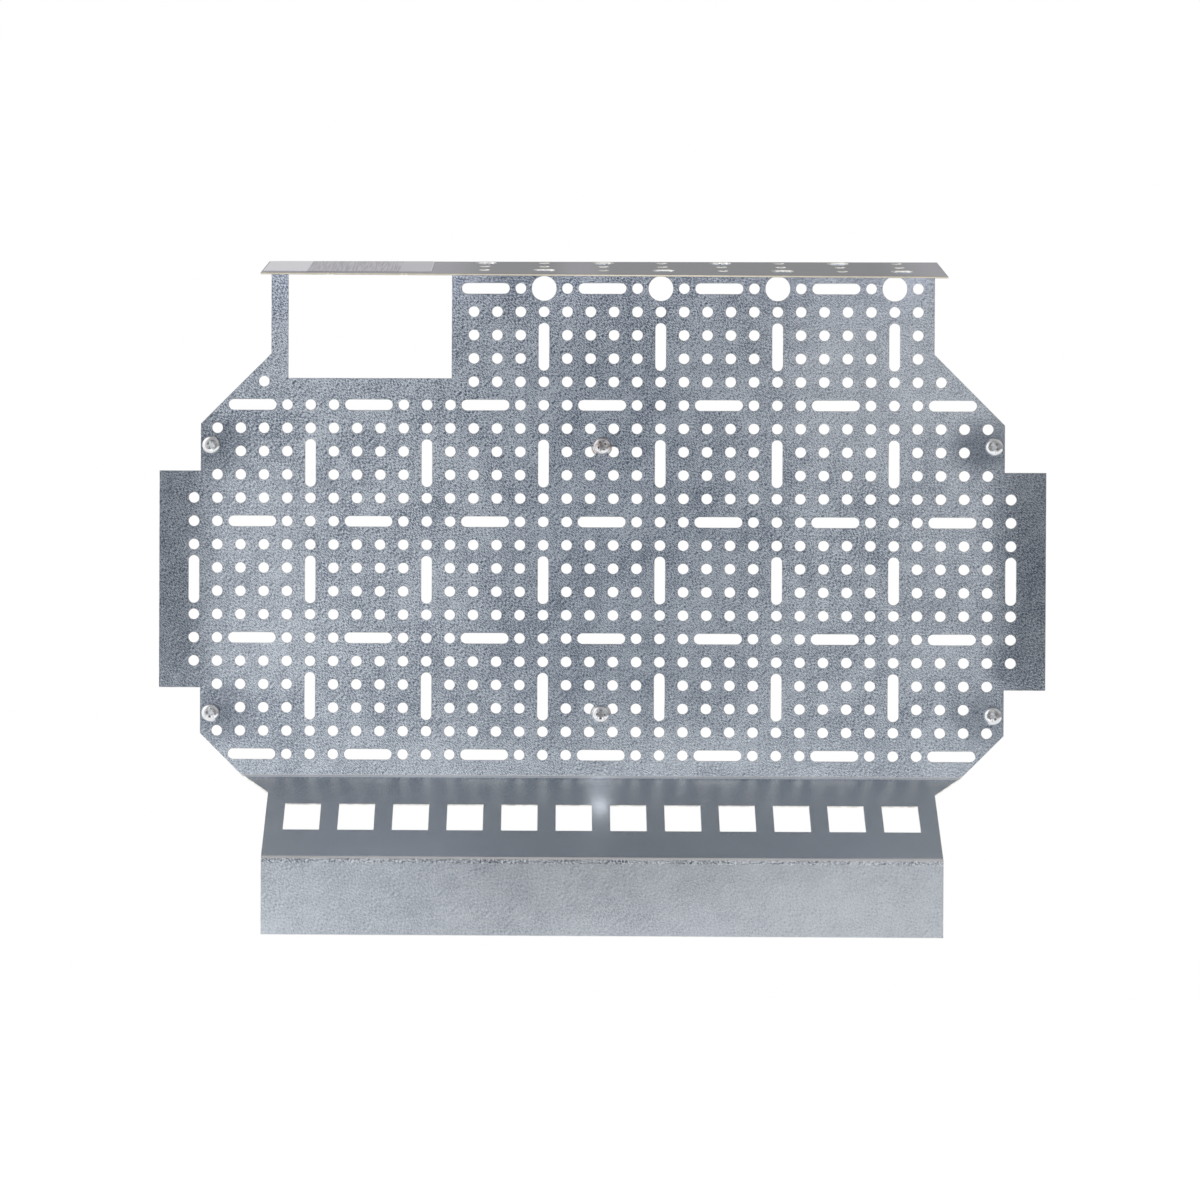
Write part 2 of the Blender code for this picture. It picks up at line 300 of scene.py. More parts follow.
def flange_height(along):
    return blank_height(UPPER_FOLDS, 1, along)


def bend_heights(folds):
    """Blank heights of the lines that part the flats of every bend."""
    heights = []
    for number, (flat, turn) in enumerate(folds):
        start = blank_height(folds, number, flat - setback(turn))
        arc = BEND_RADIUS * abs(turn)
        heights += [start + arc * step / BEND_STEPS for step in range(BEND_STEPS + 1)]
    return heights


def follow(distance, folds):
    """Walk along the folded middle of the sheet: reach forward, climb and heading at that distance."""
    reach = 0.0
    climb = 0.0
    heading = 0.0
    eaten = 0.0
    for flat, turn in folds:
        run = min(distance, flat - eaten - setback(turn))
        reach += run * math.sin(heading)
        climb += run * math.cos(heading)
        arc = min(distance - run, BEND_RADIUS * abs(turn))
        rate = math.copysign(1 / BEND_RADIUS, turn)
        after = heading + rate * arc
        reach += (math.cos(heading) - math.cos(after)) / rate
        climb += (math.sin(after) - math.sin(heading)) / rate
        heading = after
        distance -= run + arc
        eaten = setback(turn)
    return reach + distance * math.sin(heading), climb + distance * math.cos(heading), heading


def folded(x, height, behind):
    """Place in space of a blank point, some distance behind the middle of the sheet."""
    side = math.copysign(1, height)
    reach, climb, heading = follow(abs(height), UPPER_FOLDS if height > 0 else LOWER_FOLDS)
    twist = FLANGE_TWIST * x * reach if height > 0 else 0.0
    y = -SHEET / 2 - reach + behind * math.cos(heading)
    z = side * (climb + behind * math.sin(heading)) - twist
    return Vector((x, y, z))


# Shapes on the blank, all counter-clockwise

def column_x(column):
    return (column - MIDDLE_COLUMN) * PITCH


def row_z(row):
    return (MIDDLE_ROW - row) * PITCH


def round_hole(x, height, radius, sides):
    turns = [2 * math.pi * (side + 0.5) / sides for side in range(sides)]
    return [Vector((x + radius * math.cos(turn), height + radius * math.sin(turn))) for turn in turns]


def slot(x, height, upright):
    """Slot with half-round ends."""
    radius = SLOT_WIDTH / 2
    reach = SLOT_LENGTH / 2 - radius
    tilt = math.pi / 2 if upright else 0.0
    points = []
    for end in (0, 1):
        facing = tilt + math.pi * end
        centre = Vector((x + reach * math.cos(facing), height + reach * math.sin(facing)))
        for step in range(SLOT_END_SIDES + 1):
            turn = facing - math.pi / 2 + math.pi * step / SLOT_END_SIDES
            points.append(centre + Vector((math.cos(turn), math.sin(turn))) * radius)
    return points


def window(left, bottom, width, tall):
    corners = ((0, 0), (1, 0), (1, 1), (0, 1))
    return [Vector((left + width * right, bottom + tall * up)) for right, up in corners]


def break_tab(x):
    """Points of two notches in the flange's front edge, from right to left."""
    edge = flange_height(FLANGE_LENGTH)
    points = []
    for right in (x + STUB_WIDTH / 2 + NOTCH_WIDTH, x - STUB_WIDTH / 2):
        left = right - NOTCH_WIDTH
        points += [(right, edge), (right, edge - NOTCH_DEPTH), (left, edge - NOTCH_DEPTH), (left, edge)]
    return points


def plate_outline():
    """Right half from the lip up to the flange, the notches in its edge, then the mirrored half."""
    right = [
        (NECK_HALF_WIDTH, -blank_height(LOWER_FOLDS, 2, LIP_HEIGHT)),
        (NECK_HALF_WIDTH, LOWER_SHOULDER - CHAMFER),
        (SHOULDER_HALF_WIDTH, LOWER_SHOULDER),
        (SHOULDER_HALF_WIDTH, -EAR_HALF_HEIGHT),
        (EAR_HALF_WIDTH, -EAR_HALF_HEIGHT),
        (EAR_HALF_WIDTH, EAR_HALF_HEIGHT),
        (SHOULDER_HALF_WIDTH, EAR_HALF_HEIGHT),
        (SHOULDER_HALF_WIDTH, UPPER_SHOULDER),
        (NECK_HALF_WIDTH, UPPER_SHOULDER + CHAMFER),
        (NECK_HALF_WIDTH, FLANGE_ROOT),
        (FLANGE_HALF_WIDTH, FLANGE_ROOT),
        (FLANGE_HALF_WIDTH, flange_height(FLANGE_LENGTH)),
    ]
    left = [(-x, height) for x, height in reversed(right)]
    notches = [point for x in BREAK_TABS for point in break_tab(x)]
    return [Vector(point) for point in right + notches + left]


def slot_sites():
    """Column, row and direction of every slot."""
    sites = []
    for row, (first, last) in LEVEL_SLOTS.items():
        count = round((last - first) / SLOT_STEP) + 1
        sites += [(first + SLOT_STEP * index, row, False) for index in range(count)]
    for row, (first, last) in UPRIGHT_SLOTS.items():
        sites += [(column, row, True) for column in range(first, last + 1, SLOT_STEP)]
    return sites


def small_hole_sites():
    """Column and row of every small hole: the grid without the sites that slots and large holes take."""
    taken = {(column, 0) for column in LARGE_HOLE_COLUMNS}
    for column, row, upright in slot_sites():
        across, down = (0, 0.5) if upright else (0.5, 0)
        taken |= {(column - across, row - down), (column + across, row + down)}
    sites = []
    for row, spans in HOLE_SPANS.items():
        for first, last in spans:
            sites += [(column, row) for column in range(first, last + 1) if (column, row) not in taken]
    return sites


def screw_nodes():
    """Name and centre of each screw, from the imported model."""
    places = []
    for node in sorted(frame["nodes"]):
        if node.startswith("screw_"):
            low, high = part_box(node)
            places.append((node.removeprefix("screw_"), (low + high) / 2))
    return places


def socket_windows():
    first = -(SOCKETS - 1) / 2 * SOCKET_PITCH - SOCKET_WIDTH / 2
    bottom = slope_height(SOCKET_TOP + SOCKET_HEIGHT)
    lefts = [first + SOCKET_PITCH * number for number in range(SOCKETS)]
    return [window(left, bottom, SOCKET_WIDTH, SOCKET_HEIGHT) for left in lefts]


def flange_holes():
    """Columns of three: the large hole lies nearest the crease and nearest the edge by turns."""
    holes = []
    for number in range(FLANGE_COLUMNS):
        large_row = 0 if number % 2 == 0 else 2
        x = column_x(FLANGE_FIRST_COLUMN + FLANGE_COLUMN_STEP * number)
        for row, along in enumerate(FLANGE_ROWS):
            large = row == large_row
            radius = FLANGE_LARGE_RADIUS if large else SMALL_HOLE_RADIUS
            sides = LARGE_HOLE_SIDES if large else SMALL_HOLE_SIDES
            holes.append(round_hole(x, flange_height(along), radius, sides))
    return holes


def plate_holes():
    holes = [window(CUTOUT_LEFT, CUTOUT_BOTTOM, CUTOUT_WIDTH, CUTOUT_HEIGHT)]
    holes += [slot(column_x(column), row_z(row), upright) for column, row, upright in slot_sites()]
    for column in LARGE_HOLE_COLUMNS:
        holes.append(round_hole(column_x(column), row_z(0), LARGE_HOLE_RADIUS, LARGE_HOLE_SIDES))
    for column, row in small_hole_sites():
        holes.append(round_hole(column_x(column), row_z(row), SMALL_HOLE_RADIUS, SMALL_HOLE_SIDES))
    for _, centre in screw_nodes():
        holes.append(round_hole(centre.x, centre.z, SCREW_HOLE_RADIUS, SMALL_HOLE_SIDES))
    return holes + socket_windows() + flange_holes()


def moved_out(before, point, after, distance):
    """A corner moved to the right of the way round, so that both edges move by that distance."""
    into = (point - before).normalized()
    out = (after - point).normalized()
    normal = Vector((into.y, -into.x)) + Vector((out.y, -out.x))
    return point + normal * (2 * distance / normal.length_squared)


def grown(loop, distance):
    """A counter-clockwise loop, larger all round by that distance."""
    neighbours = zip(loop[-1:] + loop[:-1], loop, loop[1:] + loop[:1])
    return [moved_out(before, point, after, distance) for before, point, after in neighbours]


def triangulated(outline, holes, heights):
    """Points and triangles of the blank, with no triangle across a hole or a bend line."""
    points = list(outline)
    faces = [list(range(len(outline)))]
    for hole in holes:
        faces.append(list(range(len(points), len(points) + len(hole))))
        points += hole
    edges = []
    for height in heights:
        edges.append((len(points), len(points) + 1))
        points += [Vector((-EAR_HALF_WIDTH, height)), Vector((EAR_HALF_WIDTH, height))]
    corners, _, triangles, _, _, sources = delaunay_2d_cdt(points, edges, faces, 1, 1e-7)
    return corners, [triangle for triangle, source in zip(triangles, sources) if source == [0]]


def edge_rings(triangles):
    """For every point on a cut edge, the points before and after it, material on the left."""
    sides = set()
    for triangle in triangles:
        sides.update(zip(triangle, triangle[1:] + triangle[:1]))
    cut = [(start, end) for start, end in sides if (end, start) not in sides]
    after = dict(cut)
    before = {end: start for start, end in cut}
    return sorted(cut), before, after


def plate_shape():
    """The folded sheet: two faces, and between them the cut edges with their small chamfers."""
    heights = [-height for height in bend_heights(LOWER_FOLDS)] + bend_heights(UPPER_FOLDS)
    outline = grown(plate_outline(), -EDGE_BREAK)
    holes = [grown(hole, EDGE_BREAK) for hole in plate_holes()]
    points, triangles = triangulated(outline, holes, heights)
    cut, before, after = edge_rings(triangles)
    edge = {index: moved_out(points[before[index]], points[index], points[after[index]], EDGE_BREAK)
            for index in before}
    used = {index for triangle in triangles for index in triangle}
    shape = bmesh.new()
    half = SHEET / 2
    levels = (-half, -half + EDGE_BREAK, half - EDGE_BREAK, half)
    rings = []
    for level in levels:
        outer = abs(level) == half
        source = {index: points[index] for index in used} if outer else edge
        rings.append({index: shape.verts.new(folded(*source[index], level)) for index in sorted(source)})
    for triangle in triangles:
        shape.faces.new([rings[0][index] for index in triangle])
        shape.faces.new([rings[3][index] for index in reversed(triangle)])
    for start, end in cut:
        for near, far in zip(rings, rings[1:]):
            wall = shape.faces.new((near[end], near[start], far[start], far[end]))
            wall.material_index = 1
    bmesh.ops.recalc_face_normals(shape, faces=shape.faces)
    return shape


def build_plate():
    piece = add_piece("perforated_sheet", plate_shape(), (zinc_sheet(), cut_edge()),
                      ["mounting_plate"])
    weigh = piece.modifiers.new("flat_faces_stay_flat", "WEIGHTED_NORMAL")
    weigh.keep_sharp = True


# Materials

class Look:
    """A Principled material and short ways to add nodes to it."""

    def __init__(self, name):
        self.material = bpy.data.materials.new(name)
        self.material.use_nodes = True
        self.tree = self.material.node_tree
        self.shader = self.tree.nodes["Principled BSDF"]

    def add(self, kind, inputs=(), **settings):
        node = self.tree.nodes.new(kind)
        for setting, value in settings.items():
            setattr(node, setting, value)
        for key, value in dict(inputs).items():
            self.feed(node.inputs[key], value)
        return node

    def feed(self, socket, value):
        if isinstance(value, bpy.types.NodeSocket):
            self.tree.links.new(value, socket)
        else:
            socket.default_value = value

    def set(self, **values):
        for key, value in values.items():
            self.feed(self.shader.inputs[key.replace("_", " ")], value)

    def math(self, operation, first, second=0.0, clamp=False):
        node = self.add("ShaderNodeMath", {0: first, 1: second}, operation=operation, use_clamp=clamp)
        return node.outputs[0]

    def plus(self, first, second):
        return self.math("ADD", first, second)

    def minus(self, first, second):
        return self.math("SUBTRACT", first, second)

    def times(self, first, second):
        return self.math("MULTIPLY", first, second)

    def away(self, value, middle=0.0):
        """Distance of a value from a middle."""
        return self.math("ABSOLUTE", self.minus(value, middle))

    def step(self, value, start, end, low=0.0, high=1.0):
        """Smooth step of a value from start to end, giving low to high."""
        inputs = {"Value": value, "From Min": start, "From Max": end, "To Min": low, "To Max": high}
        return self.add("ShaderNodeMapRange", inputs, interpolation_type="SMOOTHSTEP").outputs["Result"]

    def place(self):
        """The three coordinates of the shaded point, in metres."""
        found = self.add("ShaderNodeTexCoord").outputs["Object"]
        return self.add("ShaderNodeSeparateXYZ", {0: found}).outputs

    def point(self, x, y, z=0.0):
        return self.add("ShaderNodeCombineXYZ", {0: x, 1: y, 2: z}).outputs[0]

    def noise(self, point, scale, detail=2.0, roughness=0.5):
        inputs = {"Vector": point, "Scale": scale, "Detail": detail, "Roughness": roughness}
        return self.add("ShaderNodeTexNoise", inputs).outputs[0]

    def blend(self, share, first, second, mode="MIX"):
        node = self.add("ShaderNodeMix", data_type="RGBA", blend_type=mode)
        self.feed(node.inputs[0], share)
        for socket, value in ((node.inputs[6], first), (node.inputs[7], second)):
            self.feed(socket, (*value, 1.0) if isinstance(value, tuple) else value)
        return node.outputs[2]

    def bump(self, height, distance):
        return self.add("ShaderNodeBump", {"Height": height, "Distance": distance}).outputs[0]


def colour(red, green, blue):
    """Linear colour from 0 to 255 display values."""
    def linear(value):
        share = value / 255
        return share / 12.92 if share <= 0.04045 else ((share + 0.055) / 1.055) ** 2.4
    return linear(red), linear(green), linear(blue)


def between(look, value, limits, blur):
    """1 where the value lies between two limits, fading to 0 outside them."""
    low, high = limits
    return look.times(look.step(value, low - blur, low), look.step(value, high + blur, high))


def sheet_zones(look, y, z):
    """Four shares, each 1 on its own flat of the folded sheet: panel, slope, lip and flange."""
    flat = look.step(y, *FLAT_DEPTH)
    bent = look.minus(1.0, flat)
    flange = look.times(bent, look.step(z, *FLANGE_SIDE))
    lip = look.times(look.step(y, *LIP_DEPTH), look.step(z, *reversed(FLANGE_SIDE)))
    return flat, look.minus(look.minus(bent, flange), lip), lip, flange


def fleck_contrast(look, x, z, flat, lip, flange):
    """Strength of the flecks: more towards the top of the panel and on the ears, little on the slope."""
    ears = look.step(look.away(x), *EAR_START, 1.0, EAR_FLECKS)
    panel = look.times(look.times(flat, ears), look.step(z, -0.095, 0.12, *PANEL_FLECKS))
    speckled = between(look, z, SPECKLED_LINE, LINE_BLUR)
    folded_parts = look.plus(look.times(flange, 0.42), look.times(speckled, 1.5))
    return look.plus(look.plus(look.plus(panel, look.times(lip, 0.25)), folded_parts), 0.10)


def fallen(look, across, along, stretch, layer=0.0):
    """Noise point stretched along the diagonal that falls to the right."""
    falling = look.times(look.minus(across, along), stretch[0])
    rising = look.times(look.plus(across, along), stretch[1])
    return look.point(falling, rising, layer)


def fleck_level(look, x, across, along, contrast):
    """Fine falling flecks of zinc around 0.5, grainier on the right, with soft clouds under them."""
    sheet = look.point(across, along)
    streaked = fallen(look, across, along, FLECK_STRETCH)
    streaks = look.step(look.noise(streaked, 1.0, 2.0, 0.5), 0.28, 0.72, -0.40, 0.36)
    grains = look.minus(look.noise(sheet, GRAIN_SCALE, 2.0, 0.55), 0.5)
    flecks = look.plus(look.times(streaks, look.step(x, 0.05, -0.06, 0.78, 1.0)),
                       look.times(grains, look.step(x, -0.06, 0.05, 0.0, 0.6)))
    clouds = look.minus(look.noise(look.point(across, along, 7.0), CLOUD_SCALE, 3.0, 0.55), 0.5)
    mist = look.minus(look.noise(look.point(across, along, 3.0), MIST_SCALE, 2.0, 0.5), 0.5)
    broad = look.plus(look.times(clouds, 0.32), look.times(mist, 0.26))
    soft = look.times(broad, look.plus(contrast, 0.1))
    return look.math("ADD", look.plus(look.times(flecks, contrast), soft), 0.5, clamp=True)


def zinc_tone(look, level):
    """Zinc from blue grey to pale, by the level of its flecks."""
    ramp = look.add("ShaderNodeValToRGB", {0: level})
    stops = ramp.color_ramp.elements
    stops[0].position = 0.22
    stops[0].color = (*colour(98, 105, 118), 1.0)
    stops[1].position = 0.78
    stops[1].color = (*colour(238, 242, 247), 1.0)
    stops.new(0.5).color = (*colour(203, 209, 216), 1.0)
    return ramp.outputs[0]


def dark_strokes(look, across, along):
    """Sparse dark strokes that fall to the right."""
    strokes = fallen(look, across, along, STROKE_STRETCH, 11.0)
    return look.step(look.noise(strokes, 1.0, 1.0, 0.5), 0.66, 0.74)


def panel_tones_and_painted_light(look, x, z, flat, base):
    """Broad tones of the panel: painted light that makes it pale below, darker in the middle, and painted
    highlights at upper right and beside the ears.
    """
    # Colour of the painted highlights at upper right and beside the ears.
    painted_highlight = colour(244, 247, 252)
    # Painted light from below: the panel is paler towards the lower crease.
    low = look.step(z, -0.056, -0.080, 0.0, 0.18)
    base = look.blend(look.times(flat, low), base, colour(240, 245, 251))
    middle = look.step(look.away(x, 0.008), 0.100, 0.010, 0.0, 0.46)
    middle = look.times(middle, between(look, z, (-0.035, 0.085), 0.042))
    base = look.blend(look.times(flat, middle), base, colour(182, 188, 195), "MULTIPLY")
    # Painted highlight at the upper right of the panel.
    corner = look.times(look.step(x, 0.03, 0.12), look.step(z, 0.02, 0.08, 0.0, 0.40))
    base = look.blend(look.times(flat, corner), base, painted_highlight)
    # Painted highlights beside the ears, at mid height.
    beside_ears = look.times(between(look, look.away(x), (0.136, 0.158), 0.020),
                             look.step(look.away(z), 0.060, 0.030, 0.0, 0.17))
    base = look.blend(look.times(flat, beside_ears), base, painted_highlight)
    return look.blend(look.times(flat, 0.14), base, colour(168, 192, 222))


def flange_painted_reflection(look, x, flange, base):
    """Painted reflection: the flange is darker than the panel but for its two ends and a patch left of its
    middle, which are painted lighter.
    """
    ends = look.step(look.away(x, 0.035), 0.078, 0.105)
    patch = look.step(look.away(x, -0.009), 0.014, 0.003, 0.0, 0.6)
    light = look.math("MAXIMUM", ends, patch)
    toned = look.blend(light, colour(136, 138, 146), colour(202, 203, 212))
    return look.blend(flange, base, look.blend(0.9, base, toned))


def corner_screw_painted_shade(look, x, z, flat, base):
    """Painted shade beside the four corner screws, the upper right one the strongest."""
    beside, level = CORNER_SCREW
    offset = look.point(look.minus(look.away(x), beside), look.minus(look.away(z), level))
    apart = look.add("ShaderNodeVectorMath", {0: offset}, operation="LENGTH").outputs["Value"]
    share = look.times(flat, look.step(look.plus(x, z), 0.11, 0.22, 0.40, 0.64))
    # Painted shade, full within 3 mm of each corner screw and gone by 17 mm.
    painted_shade_share = look.times(look.step(apart, 0.017, 0.003), share)
    return look.blend(painted_shade_share, base, colour(110, 120, 132), "MULTIPLY")


def ear_painted_shade(look, x, z, base):
    """Painted shade: the ears are darker, least along their lower edges."""
    share = look.times(look.step(look.away(x), 0.158, 0.182), look.step(z, -0.050, -0.026, 0.36, 0.57))
    return look.blend(share, base, colour(116, 121, 127), "MULTIPLY")


def zinc_sheet():
    """Galvanised sheet: flecked on the flat panel, plainer on the slope, with painted light, shade and
    reflection on panel, slope, lip, flange and ears, and painted highlights along the bend lines, the lower
    one brownish where the zinc is worn.
    """
    look = Look("zinc_sheet")
    x, y, z = look.place()
    across = look.times(x, 1000)
    along = look.times(look.plus(z, y), 1000)
    flat, slope, lip, flange = sheet_zones(look, y, z)
    level = fleck_level(look, x, across, along, fleck_contrast(look, x, z, flat, lip, flange))
    strokes = look.times(dark_strokes(look, across, along), look.times(flat, 0.62))
    base = look.blend(strokes, zinc_tone(look, level), colour(84, 92, 104))
    base = panel_tones_and_painted_light(look, x, z, flat, base)
    # Painted shade: the slope is darker towards its sides.
    dim = look.step(look.away(x, 0.02), 0.04, 0.13, 0.04, 0.34)
    base = look.blend(look.times(slope, dim), base, colour(140, 148, 156))
    # Painted light: the lip is paler towards the right.
    pale = look.step(x, -0.09, 0.14, 0.0, 0.20)
    base = look.blend(look.times(lip, pale), base, colour(244, 247, 251))
    base = flange_painted_reflection(look, x, flange, base)
    base = corner_screw_painted_shade(look, x, z, flat, base)
    base = ear_painted_shade(look, x, z, base)
    upper_bend = between(look, z, UPPER_BEND_LINE, LINE_BLUR)
    lower_bend = between(look, z, LOWER_BEND_LINE, LINE_BLUR)
    # Painted highlight along the crease at the top of the slope; along the fold at the top of the lip a
    # painted highlight with the brownish tint of worn zinc.
    base = look.blend(look.times(upper_bend, 0.5), base, colour(250, 251, 252))
    base = look.blend(look.times(lower_bend, 0.4), base, colour(222, 215, 210))
    # Both bend lines are less metallic, as worn zinc, which also brightens their painted highlights.
    worn_and_highlit = look.times(look.plus(upper_bend, lower_bend), 0.35)
    look.set(Base_Color=base, Metallic=look.minus(1.0, worn_and_highlit))
    look.set(Roughness=look.plus(look.plus(0.18, look.times(level, 0.06)), look.times(slope, 0.05)))
    look.set(Normal=look.bump(look.times(level, look.plus(flat, 0.05)), 0.00004))
    return look.material


def cut_edge():
    """Punched edge: bright sheared steel with soft streaks, dull and yellowish along the flange's front."""
    look = Look("cut_edge")
    x, y, z = look.place()
    streaks = [look.times(part, EDGE_STREAKS) for part in (x, z, y)]
    drag = look.noise(look.point(*streaks), 1.0, 2.0)
    base = look.blend(look.step(drag, 0.3, 0.7), colour(204, 202, 197), colour(240, 239, 236))
    front = look.times(look.step(y, *FRONT_EDGE_DEPTH), look.step(z, *FLANGE_SIDE))
    base = look.blend(look.times(front, 0.75), base, colour(176, 166, 146))
    look.set(Base_Color=base, Metallic=1.0, Roughness=look.plus(0.13, look.times(drag, 0.08)))
    return look.material


def zinc_screw(name, stain):
    """Bright zinc plating with faint haze, and a coppery stain by some share."""
    look = Look(name)
    coordinates = look.add("ShaderNodeTexCoord").outputs["Object"]
    haze = look.noise(coordinates, 900.0, 3.0, 0.6)
    spots = look.step(look.noise(coordinates, 420.0, 2.0, 0.6), 0.48, 0.62)
    bright = look.blend(haze, colour(202, 202, 204), colour(240, 241, 243))
    look.set(Base_Color=look.blend(look.times(spots, stain), bright, colour(150, 96, 62)))
    look.set(Metallic=1.0, Roughness=look.plus(0.06, look.times(haze, 0.10)))
    look.set(Normal=look.bump(haze, 0.00001))
    return look.material


def nylon():
    """Natural nylon with a fine moulded grain."""
    look = Look("natural_nylon")
    coordinates = look.add("ShaderNodeTexCoord").outputs["Object"]
    grain = look.noise(coordinates, 1500.0, 2.0)
    cloud = look.noise(coordinates, 260.0, 2.0)
    look.set(Base_Color=look.blend(cloud, colour(232, 231, 224), colour(244, 243, 238)))
    look.set(Roughness=look.plus(0.38, look.times(grain, 0.14)))
    look.set(Subsurface_Weight=0.25, Subsurface_Scale=0.001)
    look.set(Normal=look.bump(grain, 0.00002))
    return look.material


def label_print():
    """Pale film with a plain printed block of bars and a plain printed field."""
    look = Look("label_print")
    x, y, _ = look.place()
    along = look.times(y, 1000)
    across = look.times(x, 1000)
    paper = look.noise(look.point(across, along), 2.5, 3.0, 0.6)
    film = look.blend(paper, colour(228, 226, 231), colour(242, 241, 245))
    bars = look.noise(look.point(look.times(across, 1.6), look.times(along, 0.05)), 1.0, 1.0)
    block = between(look, x, BAR_BLOCK, PRINT_BLUR)
    field = between(look, x, PLAIN_FIELD, PRINT_BLUR)
    inked = look.plus(look.times(block, look.step(bars, 0.40, 0.60, 0.34, 0.60)), look.times(field, 0.32))
    look.set(Base_Color=look.blend(inked, film, colour(120, 114, 122)), Roughness=0.42)
    look.set(Normal=look.bump(paper, 0.00002))
    return look.material


# Turned pieces, with their axis along Y

def head_profile(height, radius):
    """Points of (y, radius) of a pan head, from the middle of its crown to its rim underneath."""
    points = [
        (-height, 0.0),
        (-height + HEAD_CROWN * 0.25, radius * 0.35),
        (-height + HEAD_CROWN, radius - HEAD_ROUND_OVER),
    ]
    for step in range(1, HEAD_STEPS + 1):
        turn = math.pi / 2 * step / HEAD_STEPS
        y = -HEAD_SIDE - (height - HEAD_CROWN - HEAD_SIDE) * math.cos(turn)
        points.append((y, radius - HEAD_ROUND_OVER * (1 - math.sin(turn))))
    return points + [(-HEAD_EDGE, radius), (0.0, radius - HEAD_EDGE)]


def thread_radius(distance, phase, length):
    """Radius of the threaded shank at a distance from the head; phase is the share of a turn of pitch."""
    rise = min(1.0, max(0.0, THREAD_CREST - abs(phase - 0.5) * THREAD_FLANK))
    cut = min(1.0, max(0.0, (distance - PLAIN_NECK) / THREAD_PITCH))
    radius = SHANK_RADIUS - THREAD_DEPTH * (1 - rise) * cut
    return min(radius, SHANK_RADIUS - TIP + max(0.0, length - distance))


def threaded_shank(shape, length):
    """Thread along Y from 0 to its length, wound as one ribbon of rows and open at both ends."""
    rows = THREAD_ROWS
    turns = math.ceil(length / THREAD_PITCH) + 2
    grid = {}
    for row in range(-rows, rows * turns):
        for side in range(TURN_SIDES + 1):
            distance = THREAD_PITCH * (row / rows + side / TURN_SIDES)
            held = min(max(distance, 0.0), length)
            radius = thread_radius(held, row % rows / rows, length)
            turn = 2 * math.pi * side / TURN_SIDES
            grid[row, side] = shape.verts.new((radius * math.cos(turn), held, radius * math.sin(turn)))
    for row in range(-rows, rows * turns - 1):
        for side in range(TURN_SIDES):
            corners = (grid[row, side], grid[row, side + 1], grid[row + 1, side + 1], grid[row + 1, side])
            shape.faces.new(corners)


def screw_body(name, length, head_height, head_radius):
    """Pan head, plain neck and thread in one closed surface."""
    shape = bmesh.new()
    threaded_shank(shape, length)
    bmesh.ops.remove_doubles(shape, verts=shape.verts, dist=2e-6)
    profile = head_profile(head_height, head_radius) + [(0.0, SHANK_RADIUS)]
    turns = [2 * math.pi * side / TURN_SIDES for side in range(TURN_SIDES)]
    rings = []
    for y, radius in profile:
        if radius == 0.0:
            rings.append([shape.verts.new((0.0, y, 0.0))] * TURN_SIDES)
            continue
        rings.append([shape.verts.new((radius * math.cos(t), y, radius * math.sin(t))) for t in turns])
    for near, far in zip(rings, rings[1:]):
        for side in range(TURN_SIDES):
            after = (side + 1) % TURN_SIDES
            corners = dict.fromkeys((near[side], near[after], far[after], far[side]))
            shape.faces.new(tuple(corners))
    end = [vert for vert in shape.verts if vert.co.y > length - 1e-7]
    end.sort(key=lambda vert: math.atan2(vert.co.z, vert.co.x))
    shape.faces.new(end)
    bmesh.ops.remove_doubles(shape, verts=shape.verts, dist=4e-6)
    bmesh.ops.dissolve_degenerate(shape, edges=shape.edges, dist=1e-6)
    bmesh.ops.recalc_face_normals(shape, faces=shape.faces)
    mesh = bpy.data.meshes.new(name)
    shape.to_mesh(mesh)
    shape.free()
    return bpy.data.objects.new(name, mesh)


def tapered_bar(shape, half_length, half_width, foot_length, foot_width, top, foot, turn):
    """Four-sided bar that narrows from its top face to its foot along Y, turned about Y."""
    place = Matrix.Rotation(turn, 4, "Y")
    rings = []
    for y, along, wide in ((top, half_length, half_width), (foot, foot_length, foot_width)):
        corners = ((-along, -wide), (along, -wide), (along, wide), (-along, wide))
        rings.append([shape.verts.new(place @ Vector((x, y, z))) for x, z in corners])
    shape.faces.new(rings[0])
    shape.faces.new(rings[1][::-1])
    for index in range(4):
        after = (index + 1) % 4
        shape.faces.new((rings[0][after], rings[0][index], rings[1][index], rings[1][after]))


def recess_cutters(head_height):
    """The two bars of the driver cross, the short marks between its wings, and the cross's middle."""
    bars = ((0.0, CROSS_WINGS), (math.pi / 2, CROSS_WINGS), (math.pi / 4, SHORT_MARKS),
            (-math.pi / 4, SHORT_MARKS), (math.pi / 4, CROSS_MIDDLE))
    cutters = []
    for turn, (*sizes, depth) in bars:
        shape = bmesh.new()
        tapered_bar(shape, *sizes, -head_height - RECESS_ABOVE, -head_height + depth, turn)
        bmesh.ops.recalc_face_normals(shape, faces=shape.faces)
        cutters.append(shape)
    return cutters


def screw_mesh():
    """One screw about its own axis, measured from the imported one, with its recess cut."""
    low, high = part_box("screw_" + next(iter(SCREW_SPINS)))
    underside = -SHEET - SEAT_GAP
    head_height = underside - low.y
    body = screw_body("screw_master", high.y - underside, head_height, (high.x - low.x) / 2)
    bpy.context.scene.collection.objects.link(body)
    cutters = []
    for number, shape in enumerate(recess_cutters(head_height)):
        mesh = bpy.data.meshes.new(f"recess_{number}")
        shape.to_mesh(mesh)
        shape.free()
        cutter = bpy.data.objects.new(f"recess_{number}", mesh)
        bpy.context.scene.collection.objects.link(cutter)
        cutters.append(cutter)
        cut = body.modifiers.new(cutter.name, "BOOLEAN")
        cut.operation = "DIFFERENCE"
        cut.solver = "EXACT"
        cut.object = cutter
    shaped = body.evaluated_get(bpy.context.evaluated_depsgraph_get())
    finished = bpy.data.meshes.new_from_object(shaped)
    for spare in [body, *cutters]:
        bpy.data.objects.remove(spare)
    return finished


